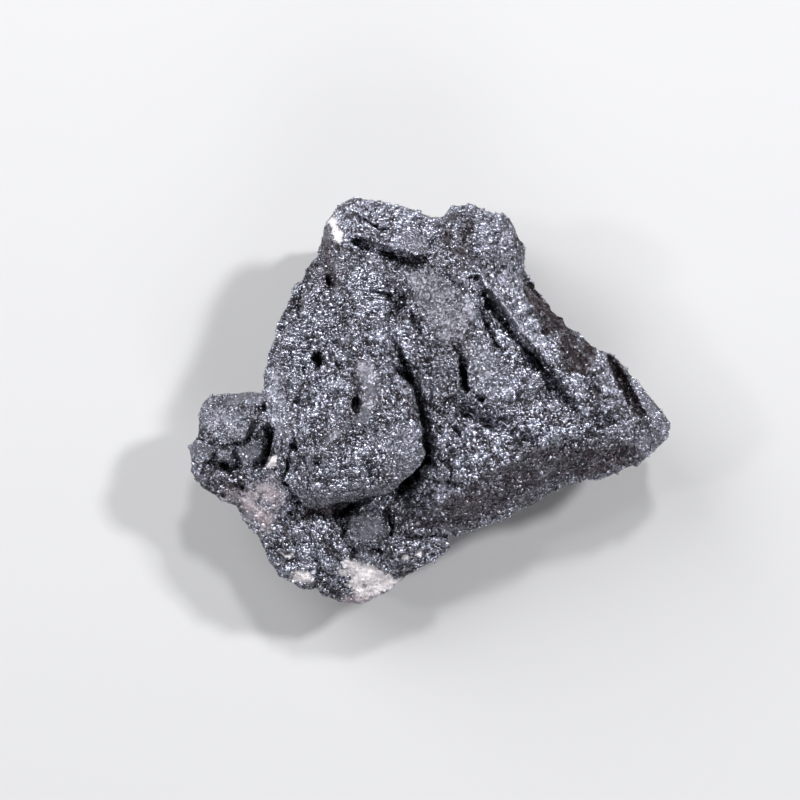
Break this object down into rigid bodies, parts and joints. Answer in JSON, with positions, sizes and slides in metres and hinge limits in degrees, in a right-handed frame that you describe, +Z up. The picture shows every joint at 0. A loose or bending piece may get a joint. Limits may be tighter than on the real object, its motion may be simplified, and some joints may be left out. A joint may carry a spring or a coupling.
{
  "type": "mineral specimen",
  "caption": "Hand-sized hematite pseudomorph specimen: a roughly triangular cluster of intergrown octahedral crystals with flat faces, ledges, grooves and pits, lying on a flat natural break.",
  "frame": {"origin": "under the middle of the stone's outline, on the surface that it rests on", "axes": "+Z up, out of the best face; +X along the longest extent, to the pointed end; +Y to the end with the small knob"},
  "size_m": [0.0522, 0.0439, 0.023],
  "materials": {
    "hematite": "satin"
  },
  "bodies": {
    "root": {"specimen": "hematite"}
  },
  "joints": []
}
